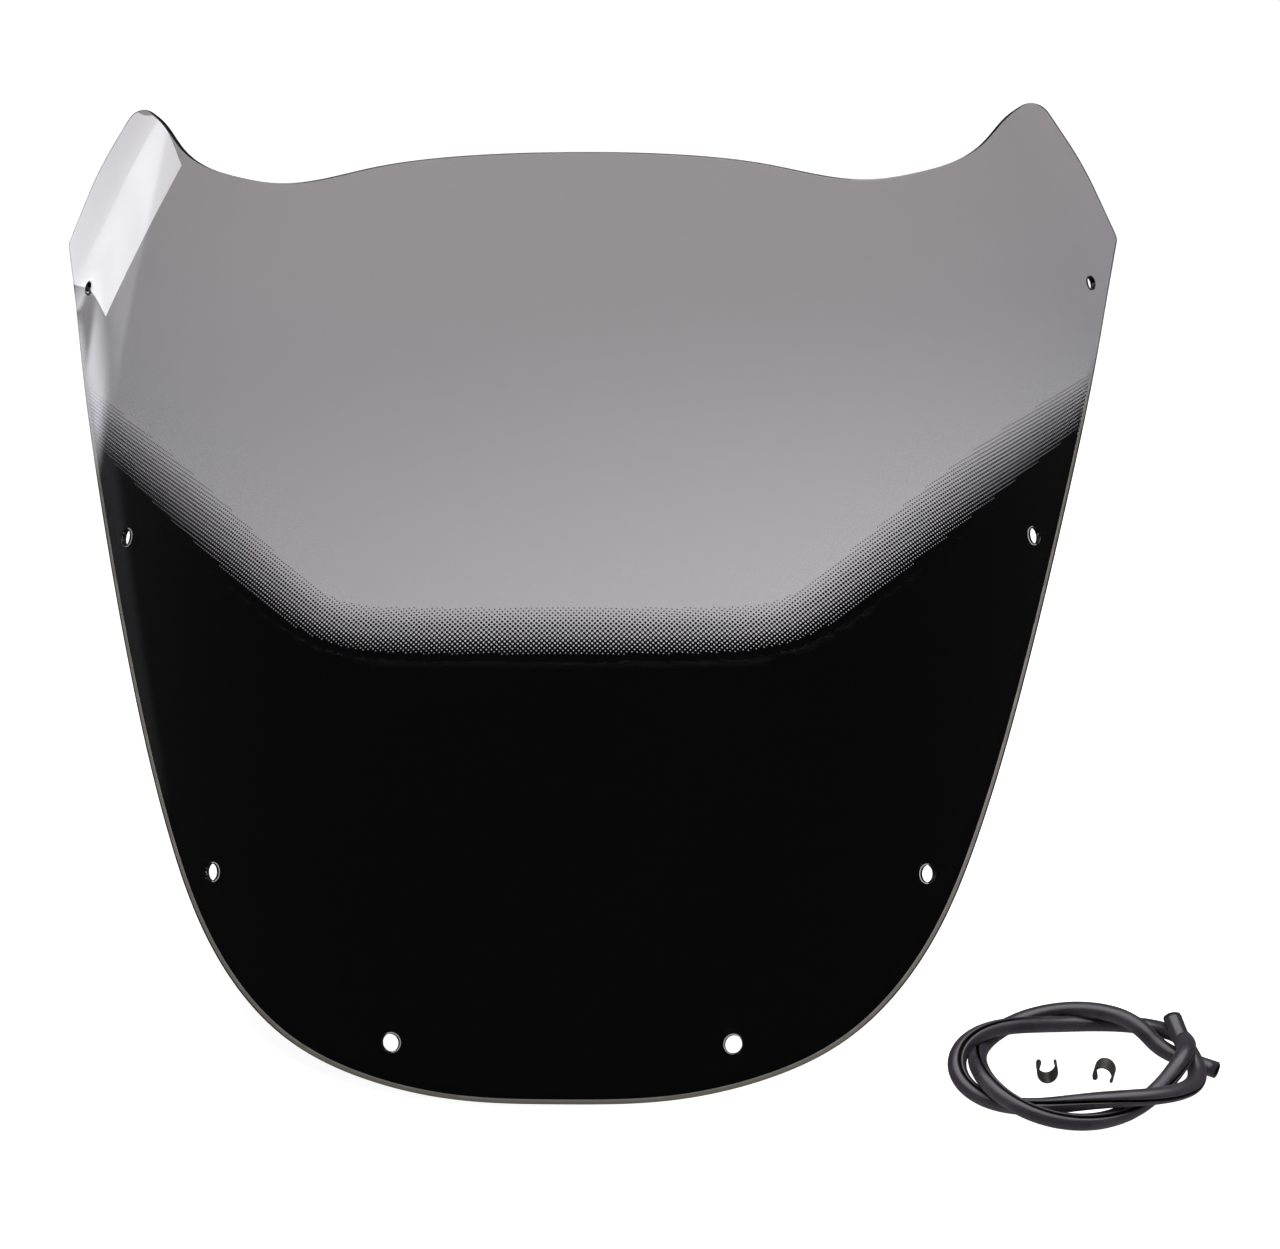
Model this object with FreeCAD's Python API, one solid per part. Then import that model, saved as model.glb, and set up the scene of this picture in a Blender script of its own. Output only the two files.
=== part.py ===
"""Motorcycle windshield screen with its inner mask print, a coil of edge trim and two spring clips.

Row frame: the lower edge's middle is at the origin, the rider sits at +Y, +Z is up.
The sheet is drawn in a front plane of x (across) and t (up the plane), which leans back by RECLINE.
Depth d runs square to that plane, away from the rider's road ahead.
"""
import math
import os
import FreeCAD
import Part

# Driving sizes, mm and degrees
HALF_WIDTH = 270.0  # middle to the widest point, at the upper corners
HEIGHT = 468.0  # lower edge to the ear tips, up the front plane
SHEET = 3.0  # acrylic thickness
RECLINE = 28.5  # lean of the front plane from upright
FLAT = 80.0  # half-width of the nearly flat middle
SIDE_SLOPE = 1.51  # depth per mm of width at the widest point
TOP_DEPTH = 81.0  # how far the ear tips lie behind the lower edge
EAR_FLARE = 0.35  # depth per mm given back by the ear wings
EAR_SOFT = 4.0  # softness of the crease where an ear wing starts
TIP_ROUND = 10.0  # ear tip radius
SIDE_ROUND = 150.0  # radius of the bowed edge between the corner and the tip
CORNER_ROUND = 7.0  # radius where the side turns into the ear
HOLE = 8.0  # six lower screw holes
TOP_HOLE = 7.0  # two upper screw holes
PRINT = 0.15  # ink thickness, with its backing coat
PRINT_INSET = 2.0  # bare margin outside the print
PRINT_TOP = 220.0  # upper limit of the print at the middle
PRINT_FLAT = 104.0  # half-width of the level part of the print's limit
PRINT_RISE = 0.98  # slope of the print's limit where it starts to rise
PRINT_EASE = 0.0016  # how fast that slope eases off, per mm
TRIM = 7.8  # edge trim outside diameter
COIL_LONG = 49.5  # half-length of the coiled trim's centreline
COIL_WIDE = 35.0  # half-width of the coiled trim's centreline
COIL_AT = (226.3, 24.0)
CLIP = 9.3  # clip outside width
CLIP_TALL = 11.2  # clip outside height, as if its oval were whole
CLIP_WALL = 0.8
CLIP_LONG = 7.4  # clip length along its axis
CLIP_GAP = 76.0  # opening angle of the clip's oval, seen from its middle
TONGUE = 3.3  # radius of the clip's tongue corners
CLIP_UP_AT = (213.3, 22.5)  # clip lying with its gap up
CLIP_DOWN_AT = (238.3, 21.6)  # clip standing on its tongues
CLIP_TURN = 16.0  # turn of the second clip, seen from above

# Outline of the right half as shares of HALF_WIDTH and HEIGHT, from the lower middle to the corner
SWEEP = [(0.0, 0.0), (0.167, 0.003), (0.326, 0.020), (0.463, 0.053), (0.556, 0.098),
         (0.633, 0.160), (0.693, 0.235), (0.785, 0.391), (0.878, 0.577), (0.944, 0.720), (0.993, 0.850)]
CORNER = (1.003, 0.869)
EAR_SIDE = (0.931, 0.945)
EAR_TIP = (0.838, 1.013)
# Top edge of the right half, from the ear's inner side to the middle
BROW = [(0.785, 0.988), (0.730, 0.950), (0.665, 0.922), (0.596, 0.906), (0.520, 0.895),
        (0.435, 0.895), (0.345, 0.903), (0.200, 0.911), (0.0, 0.914)]
# Screw holes of the right half
HOLES = [(0.281, 0.055, HOLE), (0.607, 0.207, HOLE), (0.811, 0.539, HOLE), (0.942, 0.815, TOP_HOLE)]
# Crease of the right ear wing
CREASE = [(0.808, 1.0), (0.959, 0.825)]

LEAN = math.radians(RECLINE)
REACH = math.hypot(HALF_WIDTH, FLAT) - FLAT
WRAP = SIDE_SLOPE / REACH
AWAY = FreeCAD.Vector(0, math.cos(LEAN), -math.sin(LEAN))
UP_SHEET = FreeCAD.Vector(0, math.sin(LEAN), math.cos(LEAN))
FRONT_STAND = -1.5 * HALF_WIDTH  # where the cutting prisms start
PRISM = 4.0 * HALF_WIDTH
FLOOR_LIFT = SHEET * math.sin(LEAN)  # brings the inner lower edge down to z = 0


def soft_ramp(value, width):
    """0 below zero and the value above it, with a rounded start of the given width."""
    return width * math.log1p(math.exp(min(value / width, 60.0))) if value < 60.0 * width else value


def ear_distance(x, t):
    """How far a point lies outside the ear wing's crease."""
    (x0, t0), (x1, t1) = [(a * HALF_WIDTH, b * HEIGHT) for a, b in CREASE]
    long = math.hypot(x1 - x0, t1 - t0)
    return ((abs(x) - x0) * (t0 - t1) + (t - t0) * (x1 - x0)) / long


def depth(x, t):
    """Depth of the front face behind the front plane."""
    run = math.hypot(x, FLAT)
    wrap = WRAP * (0.5 * abs(x) * run + 0.5 * FLAT**2 * math.asinh(abs(x) / FLAT) - FLAT * abs(x))
    bow = TOP_DEPTH * (t / HEIGHT) * abs(t / HEIGHT)
    return wrap + bow - EAR_FLARE * soft_ramp(ear_distance(x, t), EAR_SOFT)


def place(x, t, d):
    """A point of the sheet's front plane, d behind it, in the row frame."""
    return FreeCAD.Vector(x, 0, FLOOR_LIFT) + UP_SHEET * t + AWAY * d


def on_front(x, t):
    """A point on the front face."""
    return place(x, t, depth(x, t))


def outward(x, t):
    """Unit normal of the front face, toward the road ahead."""
    h = 0.05
    across = on_front(x + h, t) - on_front(x - h, t)
    along = on_front(x, t + h) - on_front(x, t - h)
    return across.cross(along).normalize()


def front_surface():
    """The whole front surface, a little larger than the outline."""
    columns = [HALF_WIDTH * 1.12 * (i / 32.0 - 1.0) for i in range(65)]
    levels = [HEIGHT * (-0.06 + 1.14 * j / 44.0) for j in range(45)]
    surface = Part.BSplineSurface()
    surface.interpolate([[on_front(x, t) for t in levels] for x in columns])
    return surface.toShape()


def smooth(points):
    """A smooth edge through points of the front plane."""
    curve = Part.BSplineCurve()
    curve.interpolate([place(x, t, FRONT_STAND) for x, t in points])
    return curve.toShape()


def scaled(points):
    """Shares turned into mm."""
    return [(a * HALF_WIDTH, b * HEIGHT) for a, b in points]


def mirrored(points):
    """The left half of a run of points, in reverse order."""
    return [(-x, t) for x, t in reversed(points) if x != 0.0]


def rounded(start, knee, end, radius):
    """The two ends and the middle of an arc that rounds a knee."""
    def leg(a, b):
        return (b[0] - a[0]) / math.dist(a, b), (b[1] - a[1]) / math.dist(a, b)
    u, v = leg(knee, start), leg(knee, end)
    half = 0.5 * math.acos(max(-1.0, min(1.0, u[0] * v[0] + u[1] * v[1])))
    run = radius / math.tan(half)
    first = (knee[0] + u[0] * run, knee[1] + u[1] * run)
    last = (knee[0] + v[0] * run, knee[1] + v[1] * run)
    bis = (u[0] + v[0], u[1] + v[1])
    long = math.hypot(*bis)
    gap = radius / math.sin(half) - radius
    middle = (knee[0] + bis[0] / long * gap, knee[1] + bis[1] / long * gap)
    return first, middle, last


def outline():
    """The sheet's outline as a closed wire in the front plane."""
    sweep, brow = scaled(SWEEP), scaled(BROW)
    corner, bow, tip = scaled([CORNER, EAR_SIDE, EAR_TIP])
    c_in, c_mid, c_out = rounded(sweep[-1], corner, bow, CORNER_ROUND)
    s_in, s_mid, s_out = rounded(corner, bow, tip, SIDE_ROUND)
    t_in, t_mid, t_out = rounded(bow, tip, brow[0], TIP_ROUND)
    lower = sweep[:-1] + [c_in]
    upper = [t_out] + brow
    edges = [smooth(mirrored(lower) + lower), smooth(upper + mirrored(upper))]
    for side in (1.0, -1.0):
        knees = (c_in, c_mid, c_out, s_in, s_mid, s_out, t_in, t_mid, t_out)
        spots = [place(side * x, t, FRONT_STAND) for x, t in knees]
        edges.append(Part.Arc(*spots[0:3]).toShape())
        edges.append(Part.makeLine(spots[2], spots[3]))
        edges.append(Part.Arc(*spots[3:6]).toShape())
        edges.append(Part.makeLine(spots[5], spots[6]))
        edges.append(Part.Arc(*spots[6:9]).toShape())
    return Part.Wire(Part.__sortEdges__(edges))


def prism(wire):
    """A closed front-plane wire pushed through the sheet."""
    return Part.Face(wire).extrude(AWAY * PRISM)


def hole_tool(x, t, diameter, extra):
    """A drill square to the sheet at a point of the front plane."""
    axis = outward(x, t)
    start = on_front(x, t) + axis * 4.0 * SHEET
    return Part.makeCylinder(0.5 * diameter + extra, 8.0 * SHEET, start, axis * -1.0)


def drills(extra):
    """All eight drills."""
    spots = [(side * a * HALF_WIDTH, b * HEIGHT, d) for a, b, d in HOLES for side in (1.0, -1.0)]
    return [hole_tool(x, t, d, extra) for x, t, d in spots]


def thickened(face, start, thickness):
    """A solid from a face: start and thickness are measured inward from it."""
    base = face.makeOffsetShape(start, 0.001) if abs(start) > 1e-9 else face
    body = base.makeOffsetShape(thickness, 0.001, fill=True)
    solid = Part.Solid(body.Shells[0]) if not body.Solids else body.Solids[0]
    if solid.Volume < 0:
        solid.reverse()
    return solid


def shell(surface, rim):
    """The tinted sheet with its eight holes."""
    blank = surface.common(prism(rim)).Faces[0]
    sheet = thickened(blank, 0.0, -SHEET)
    for drill in drills(0.0):
        sheet = sheet.cut(drill)
    return sheet


def mask_print(surface, rim):
    """The dark print on the inner face, up to the top of its dotted edge."""
    inner_rim = rim.makeOffset2D(-PRINT_INSET)
    wide, low = 1.2 * HALF_WIDTH, -0.2 * HEIGHT
    steps = [i / 12.0 * wide for i in range(13)]
    runs = [soft_ramp(x - PRINT_FLAT, 8.0) for x in steps]
    level = PRINT_TOP * HEIGHT / 468.0
    rise = [(x, level + PRINT_RISE * run - PRINT_EASE * run**2) for x, run in zip(steps, runs)]
    top = smooth(mirrored(rise) + rise)
    corners = [place(wide, rise[-1][1], FRONT_STAND), place(wide, low, FRONT_STAND),
               place(-wide, low, FRONT_STAND), place(-wide, rise[-1][1], FRONT_STAND)]
    field = Part.Wire(Part.__sortEdges__([top, Part.makePolygon(corners).Edges[0],
                                          Part.makePolygon(corners).Edges[1],
                                          Part.makePolygon(corners).Edges[2]]))
    region = prism(inner_rim).common(prism(field))
    blank = surface.common(region).Faces[0]
    ink = thickened(blank, -SHEET, -PRINT)
    for drill in drills(0.6):
        ink = ink.cut(drill)
    return ink


def oval(long, wide):
    """An oval face round the origin, with its half-length along X and its half-width along Y."""
    origin, upright = FreeCAD.Vector(0, 0, 0), FreeCAD.Vector(0, 0, 1)
    ring = Part.Wire(Part.Ellipse(origin, max(long, wide), min(long, wide)).toShape())
    if wide > long:
        ring.rotate(origin, upright, 90)
    return Part.Face(ring)


def coil():
    """The outer shape of the coiled trim: a rounded oval ring two strands high and wide."""
    outer = oval(COIL_LONG + TRIM, COIL_WIDE + TRIM)
    inner = oval(COIL_LONG - TRIM, COIL_WIDE - TRIM)
    ring = outer.cut(inner).extrude(FreeCAD.Vector(0, 0, 2.0 * TRIM))
    ring.translate(FreeCAD.Vector(COIL_AT[0], COIL_AT[1], 0))
    rims = [e for e in ring.Edges if e.BoundBox.ZLength < 1e-6]
    return ring.makeFillet(0.6 * TRIM, rims)


def clip(at, gap_up, turn):
    """One C-shaped oval clip with rounded tongues, lying along Y before its turn."""
    tall, wide = 0.5 * CLIP_TALL, 0.5 * CLIP
    origin, upright = FreeCAD.Vector(0, 0, 0), FreeCAD.Vector(0, 0, 1)
    band = oval(tall, wide).cut(oval(tall - CLIP_WALL, wide - CLIP_WALL))
    tube = band.extrude(upright * CLIP_LONG)
    half = math.radians(0.5 * CLIP_GAP)
    far = 2.0 * (tall + wide)
    tips = [FreeCAD.Vector(far * math.cos(half), s * far * math.sin(half), 0) for s in (-1, 1)]
    notch = Part.Face(Part.makePolygon([origin, tips[0], tips[1], origin])).extrude(upright * CLIP_LONG)
    ring = tube.cut(notch)
    tip = tall * wide * math.cos(half) / math.hypot(wide * math.cos(half), tall * math.sin(half))
    block = Part.makeBox(2.0 * tall + tip, 4.0 * wide, CLIP_LONG, FreeCAD.Vector(-2.0 * tall, -2.0 * wide, 0))
    corners = [e for e in block.Edges if e.BoundBox.YLength > wide and e.BoundBox.XMin > 0.0]
    ring = ring.common(block.makeFillet(min(TONGUE, 0.48 * CLIP_LONG), corners))
    ring.translate(upright * (-0.5 * CLIP_LONG))
    ring.rotate(origin, FreeCAD.Vector(1, 0, 0), 90)
    ring.rotate(origin, FreeCAD.Vector(0, 1, 0), -90 if gap_up else 90)
    ring.rotate(origin, upright, turn)
    ring.translate(FreeCAD.Vector(at[0], at[1], -ring.BoundBox.ZMin))
    return ring


surface = front_surface()
rim = outline()
nodes = {
    "screen_shell": shell(surface, rim),
    "mask_print": mask_print(surface, rim),
    "edge_trim_coil": coil(),
    "clip_left": clip(CLIP_UP_AT, True, 0.0),
    "clip_right": clip(CLIP_DOWN_AT, False, -CLIP_TURN),
}
os.makedirs("parts", exist_ok=True)
for name, shape in nodes.items():
    shape.exportStep("parts/" + name + ".step")
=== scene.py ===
"""Studio scene of a tinted motorcycle windshield screen, its coiled edge trim and two spring clips.

Every piece is built in the row frame, in metres: the middle of the screen's lower edge is at the
origin, the rider sits at +Y and +Z is up. The sheet is drawn in a front plane of x (across) and t
(up the plane), which leans back; depth d runs square to that plane.
"""
import logging
import math
from dataclasses import dataclass, field
from enum import Enum

import bpy
import numpy as np
from mathutils import Matrix, Vector
from mathutils.geometry import delaunay_2d_cdt


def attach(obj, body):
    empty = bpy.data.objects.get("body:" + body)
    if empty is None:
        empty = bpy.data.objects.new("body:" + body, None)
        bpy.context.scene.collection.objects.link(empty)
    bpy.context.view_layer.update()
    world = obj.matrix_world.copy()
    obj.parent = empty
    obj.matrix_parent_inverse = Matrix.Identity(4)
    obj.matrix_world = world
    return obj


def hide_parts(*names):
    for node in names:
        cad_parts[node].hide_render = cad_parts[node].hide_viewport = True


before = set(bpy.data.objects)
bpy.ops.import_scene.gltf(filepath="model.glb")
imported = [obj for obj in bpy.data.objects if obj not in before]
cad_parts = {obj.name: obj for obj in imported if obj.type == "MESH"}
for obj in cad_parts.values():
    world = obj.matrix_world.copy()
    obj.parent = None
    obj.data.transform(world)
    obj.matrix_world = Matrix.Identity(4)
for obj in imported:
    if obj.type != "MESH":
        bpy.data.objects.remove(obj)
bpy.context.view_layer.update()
LOG = logging.getLogger("windshield")
Array = np.ndarray
Socket = bpy.types.NodeSocket

MM = 1000.0
NEAREST_BLOCK = 64
CLEAR_OF_LOOPS = 0.62
CLEAR_OF_HOLES = 0.4
MERGE_MM = 1e-5


# ---------------------------------------------------------------- mesh helpers


def linked(obj: bpy.types.Object) -> bpy.types.Object:
    """Put an object into the scene."""
    bpy.context.scene.collection.objects.link(obj)
    return obj


def new_object(name: str, verts: Array, faces: list) -> bpy.types.Object:
    """Make a smoothly shaded mesh object at the origin from whole arrays.

    Args:
        name: Object and mesh name.
        verts: Points, n by 3, in metres.
        faces: Lists of vertex numbers, wound so that the normals point outward.

    Returns:
        The linked object.
    """
    mesh = bpy.data.meshes.new(name)
    mesh.from_pydata(np.asarray(verts, float).tolist(), [], faces)
    mesh.polygons.foreach_set("use_smooth", np.full(len(mesh.polygons), True))
    mesh.update()
    return linked(bpy.data.objects.new(name, mesh))


def set_uv(obj: bpy.types.Object, per_vertex: Array) -> None:
    """Store one UV pair per vertex as a loop UV layer."""
    mesh = obj.data
    layer = mesh.uv_layers.new(name="UVMap")
    corner = np.empty(len(mesh.loops), dtype=np.int32)
    mesh.loops.foreach_get("vertex_index", corner)
    layer.data.foreach_set("uv", np.asarray(per_vertex, float)[corner].ravel())


def grid_faces(rows: int, cols: int) -> list:
    """Quads of a rows by cols grid of vertices, row after row, each row closed into a ring."""
    i = np.arange(rows - 1)[:, None]
    j = np.arange(cols)[None, :]
    up, right = i + 1, (j + 1) % cols
    quads = [i * cols + j, i * cols + right, up * cols + right, up * cols + j]
    return np.stack(quads, -1).reshape(-1, 4).tolist()


def band(upper: Array, lower: Array, inward: bool = False) -> list:
    """Quads between two closed rings of vertex numbers, facing out or, in a bore, inward."""
    quads = [upper, lower, np.roll(lower, -1), np.roll(upper, -1)]
    return np.stack(quads[:1] + quads[:0:-1] if inward else quads, -1).tolist()


def unit(vectors: Array) -> Array:
    """Vectors along the last axis, brought to length 1."""
    return vectors / np.linalg.norm(vectors, axis=-1, keepdims=True)


def run_length(path: Array) -> Array:
    """Distance along a path to each of its points."""
    return np.concatenate([[0.0], np.cumsum(np.linalg.norm(np.diff(path, axis=0), axis=1))])


def spline_through(points: Array, spacing: float) -> Array:
    """Natural cubic spline through points of a plane, with chord length as its parameter.

    The second derivatives M solve the usual three-term system, and each span is
    the cubic that M and the end points give.

    Args:
        points: Points of the plane.
        spacing: Distance between the samples.

    Returns:
        Samples, m by 2, the two ends included.
    """
    p = np.asarray(points, float)
    s = run_length(p)
    h = np.linalg.norm(np.diff(p, axis=0), axis=1)
    n = len(p)
    left = np.eye(n)
    right = np.zeros_like(p)
    inner = np.arange(1, n - 1)
    left[inner, inner - 1] = h[:-1]
    left[inner, inner] = 2.0 * (h[:-1] + h[1:])
    left[inner, inner + 1] = h[1:]
    right[1:-1] = 6.0 * np.diff(np.diff(p, axis=0) / h[:, None], axis=0)
    m = np.linalg.solve(left, right)
    q = np.linspace(0.0, s[-1], int(s[-1] / spacing) + 2)
    k = np.clip(np.searchsorted(s, q, side="right") - 1, 0, n - 2)
    a, b, w = (s[k + 1] - q)[:, None], (q - s[k])[:, None], h[k][:, None]
    return (m[k] * a**3 + m[k + 1] * b**3) / (6 * w) + (p[k] / w - m[k] * w / 6) * a \
        + (p[k + 1] / w - m[k + 1] * w / 6) * b


def soft_ramp(value: Array, width: float) -> Array:
    """0 below zero and the value above it, rounded: width * log(1 + exp(value / width))."""
    return width * np.logaddexp(0.0, np.asarray(value, float) / width)


def inside(points: Array, loop: Array) -> Array:
    """Even-odd test of points against a closed loop in the plane."""
    x, y = points[:, 0][:, None], points[:, 1][:, None]
    a, b = loop, np.roll(loop, -1, axis=0)
    spans = (a[:, 1] > y) != (b[:, 1] > y)
    rise = np.where(b[:, 1] == a[:, 1], 1e-12, b[:, 1] - a[:, 1])
    cross = x < (b[:, 0] - a[:, 0]) * (y - a[:, 1]) / rise + a[:, 0]
    return (np.count_nonzero(spans & cross, axis=1) % 2).astype(bool)


def nearest(points: Array, loop: Array) -> Array:
    """Distance of each point to the nearest vertex of a loop."""
    best = np.full(len(points), np.inf)
    for block in np.array_split(loop, max(1, len(loop) // NEAREST_BLOCK)):
        gap = np.linalg.norm(points[:, None, :] - block[None, :, :], axis=2).min(axis=1)
        best = np.minimum(best, gap)
    return best


def fill_plane(rim: Array, holes: list, spacing: float) -> tuple[Array, Array, list]:
    """Triangulate a region of the front plane with holes on a staggered lattice.

    Args:
        rim: The outer loop.
        holes: Inner loops.
        spacing: Lattice spacing.

    Returns:
        The points, the triangles, and the vertex numbers of each loop, the rim's first.
    """
    loops = [rim] + holes
    low, high = rim.min(axis=0), rim.max(axis=0)
    rows = np.arange(low[1], high[1], spacing * math.sqrt(0.75))
    gx, gy = np.meshgrid(np.arange(low[0], high[0], spacing), rows)
    gx = gx + 0.5 * spacing * (np.arange(len(rows)) % 2)[:, None]
    lattice = np.stack([gx.ravel(), gy.ravel()], -1)
    keep = inside(lattice, rim)
    keep &= nearest(lattice, np.concatenate(loops)) > CLEAR_OF_LOOPS * spacing
    for hole in holes:
        centre = hole.mean(axis=0)
        reach = np.linalg.norm(hole - centre, axis=1).max()
        keep &= np.linalg.norm(lattice - centre, axis=1) > reach + CLEAR_OF_HOLES * spacing
    points = np.concatenate(loops + [lattice[keep]])
    starts = np.concatenate([[0], np.cumsum([len(loop) for loop in loops])]).tolist()
    spans = list(zip(starts[:-1], starts[1:]))
    edges = [(s + i, s + (i + 1) % (e - s)) for s, e in spans for i in range(e - s)]
    scaled = [Vector(p) for p in (points * MM).tolist()]
    out = delaunay_2d_cdt(scaled, edges, [], 1, MERGE_MM)
    plane = np.array([tuple(v) for v in out[0]]) / MM
    tri = np.array([list(t) for t in out[2]])
    back = np.array([ids[0] if ids else -1 for ids in out[3]])
    place_of = np.full(len(points), -1)
    place_of[back[back >= 0]] = np.nonzero(back >= 0)[0]
    middle = plane[tri].mean(axis=1)
    open_air = np.zeros(len(tri), dtype=bool)
    for hole in holes:
        open_air |= inside(middle, hole)
    tri = tri[~open_air]
    a, b, c = plane[tri[:, 0]], plane[tri[:, 1]], plane[tri[:, 2]]
    turn = (b[:, 0] - a[:, 0]) * (c[:, 1] - a[:, 1]) - (b[:, 1] - a[:, 1]) * (c[:, 0] - a[:, 0])
    tri[turn < 0] = tri[turn < 0][:, ::-1]
    return plane, tri, [place_of[s:e] for s, e in spans]


# ---------------------------------------------------------------- node helpers


class Shader:
    """A small builder for node trees, whose inputs take sockets or plain values."""

    def __init__(self, tree: bpy.types.NodeTree) -> None:
        """Keep the tree and count its nodes, for their places on the canvas."""
        self.tree = tree
        self.count = 0

    def add(self, kind: str, values: dict | None = None, **attributes: object) -> bpy.types.Node:
        """Add a node, set its attributes, and feed its inputs."""
        node = self.tree.nodes.new(kind)
        node.location = (-220 * (self.count % 8), -260 * (self.count // 8))
        self.count += 1
        for key, value in attributes.items():
            setattr(node, key, value)
        for key, value in (values or {}).items():
            if isinstance(value, Socket):
                self.link(value, node.inputs[key])
            else:
                node.inputs[key].default_value = value
        return node

    def link(self, source: Socket, target: Socket) -> None:
        """Join two sockets."""
        self.tree.links.new(source, target)

    def math(self, operation: str, first: object, second: object = 0.0) -> Socket:
        """A math node."""
        return self.add("ShaderNodeMath", {0: first, 1: second}, operation=operation).outputs[0]

    def mix_color(self, amount: Socket, first: object, second: object) -> Socket:
        """Two colours, each a socket or three numbers, mixed by a socket."""
        pair = [(*c, 1.0) if isinstance(c, tuple) else c for c in (first, second)]
        values = {0: amount, 6: pair[0], 7: pair[1]}
        return self.add("ShaderNodeMix", values, data_type="RGBA").outputs[2]

    def remap(self, value: Socket, start: float, stop: float, low: float = 0.0,
              high: float = 1.0, kind: str = "LINEAR") -> Socket:
        """A value taken from one range to another and held at the ends."""
        values = {"Value": value, "From Min": start, "From Max": stop,
                  "To Min": low, "To Max": high}
        return self.add("ShaderNodeMapRange", values, interpolation_type=kind).outputs["Result"]

    def window(self, value: Socket, start: tuple, stop: tuple) -> Socket:
        """1 between two smooth steps and 0 outside them."""
        rise = self.remap(value, *start, kind="SMOOTHSTEP")
        fall = self.remap(value, *stop, kind="SMOOTHSTEP")
        return self.math("MULTIPLY", rise, self.math("SUBTRACT", 1.0, fall))

    def where(self, kind: str = "Object") -> Socket:
        """A texture coordinate."""
        return self.add("ShaderNodeTexCoord").outputs[kind]

    def axes(self, vector: Socket) -> bpy.types.bpy_prop_collection:
        """The X, Y and Z of a vector."""
        return self.add("ShaderNodeSeparateXYZ", {"Vector": vector}).outputs


def handling_marks_group() -> bpy.types.NodeTree:
    """The node group for the faint marks that packing and handling leave.

    Inputs are the vector and the sizes of the clouds and the grain. Outputs are a cloudy mask,
    and the blend of clouds and grain as a height.
    """
    name = "handling_marks"
    if name in bpy.data.node_groups:
        return bpy.data.node_groups[name]
    group = bpy.data.node_groups.new(name, "ShaderNodeTree")
    for socket, way, kind in (("Vector", "INPUT", "Vector"), ("Cloud Scale", "INPUT", "Float"),
                              ("Grain Scale", "INPUT", "Float"), ("Cloud", "OUTPUT", "Float"),
                              ("Height", "OUTPUT", "Float")):
        group.interface.new_socket(name=socket, in_out=way, socket_type="NodeSocket" + kind)
    make = Shader(group)
    entry = make.add("NodeGroupInput").outputs
    cloud, grain = (
        make.add("ShaderNodeTexNoise", {"Vector": entry["Vector"], "Scale": entry[scale],
                                        "Detail": detail, "Roughness": roughness}).outputs["Fac"]
        for scale, detail, roughness in (("Cloud Scale", 3.0, 0.55), ("Grain Scale", 2.0, 0.6)))
    height = make.math("ADD", make.math("MULTIPLY", cloud, 0.5), make.math("MULTIPLY", grain, 0.5))
    make.add("NodeGroupOutput", {"Cloud": make.remap(cloud, 0.42, 0.68), "Height": height})
    return group


@dataclass(frozen=True)
class Finish:
    """Base of every finish: a named material with a marked, slightly uneven surface."""

    name: str = "finish"
    color: tuple = (0.5, 0.5, 0.5)
    worn_color: tuple = (0.5, 0.5, 0.5)
    roughness: float = 0.4
    rough_spread: float = 0.1
    cloud_scale: float = 12.0
    grain_scale: float = 300.0
    bump: float = 0.1
    bump_distance: float = 0.0002
    sockets: tuple = ()

    def shader(self) -> tuple[bpy.types.Material, Shader, bpy.types.Node, bpy.types.Node]:
        """Build the shared part of the material.

        Returns:
            The material, its builder, the Principled BSDF and the handling-marks node.
        """
        material = bpy.data.materials.new(self.name)
        material.use_nodes = True
        material.node_tree.nodes.clear()
        make = Shader(material.node_tree)
        scales = {"Cloud Scale": self.cloud_scale, "Grain Scale": self.grain_scale}
        marks = make.add("ShaderNodeGroup", node_tree=handling_marks_group())
        for key, value in scales.items():
            marks.inputs[key].default_value = value
        make.link(make.where(), marks.inputs["Vector"])
        rough = make.remap(marks.outputs["Cloud"], 0.0, 1.0, self.roughness,
                           self.roughness + self.rough_spread)
        bump = make.add("ShaderNodeBump", {"Strength": self.bump, "Distance": self.bump_distance,
                                           "Height": marks.outputs["Height"]})
        surface = make.add("ShaderNodeBsdfPrincipled", dict(self.sockets))
        make.link(rough, surface.inputs["Roughness"])
        make.link(bump.outputs["Normal"], surface.inputs["Normal"])
        make.add("ShaderNodeOutputMaterial", {"Surface": surface.outputs[0]})
        return material, make, surface, marks

    def build(self) -> bpy.types.Material:
        """The finished material, its colour drifting between the two tones."""
        material, make, surface, marks = self.shader()
        make.link(make.mix_color(marks.outputs["Cloud"], self.color, self.worn_color),
                  surface.inputs["Base Color"])
        return material


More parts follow.
